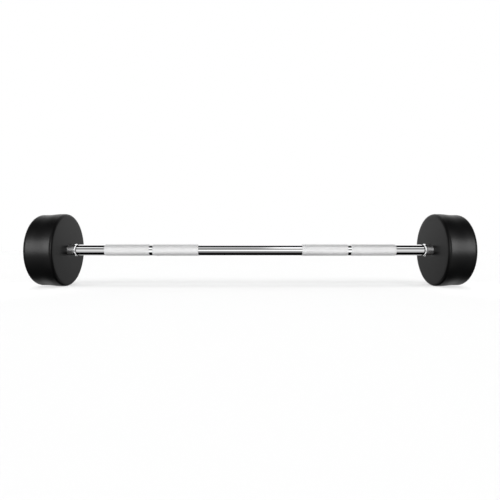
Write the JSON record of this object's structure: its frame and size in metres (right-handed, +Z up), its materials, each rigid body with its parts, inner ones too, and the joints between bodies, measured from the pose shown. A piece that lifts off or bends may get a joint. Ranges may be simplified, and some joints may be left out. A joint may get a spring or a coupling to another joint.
{
  "type": "fixed barbell",
  "caption": "Straight chromed bar with knurled grips and a round rubber-covered weight fixed on each end, for gym training.",
  "frame": {"origin": "middle of the bar, on its axis", "axes": "+X along the bar, from the middle to the right head; +Y away from a viewer in front; +Z up"},
  "size_m": [1.087, 0.187, 0.187],
  "materials": {
    "chrome": "polished chrome plate on turned steel",
    "neck_steel": "turned steel, satin",
    "iron": "raw casting, machined bore",
    "rubber": "moulded black rubber, satin",
    "pin_steel": "ground steel",
    "fixing_steel": "zinc plated steel"
  },
  "bodies": {
    "root": {"bar": "chrome", "stop_ring_left": "chrome", "neck_sleeve_left": "neck_steel", "core_left": "iron", "rubber_coat_left": "rubber", "locking_pin_upper_left": "pin_steel", "locking_pin_lower_left": "pin_steel", "retaining_washer_left": "fixing_steel", "lock_washer_left": "fixing_steel", "head_bolt_left": "fixing_steel", "core_plug_left": "fixing_steel", "stop_ring_right": "chrome", "neck_sleeve_right": "neck_steel", "core_right": "iron", "rubber_coat_right": "rubber", "locking_pin_upper_right": "pin_steel", "locking_pin_lower_right": "pin_steel", "retaining_washer_right": "fixing_steel", "lock_washer_right": "fixing_steel", "head_bolt_right": "fixing_steel", "core_plug_right": "fixing_steel"}
  },
  "joints": []
}
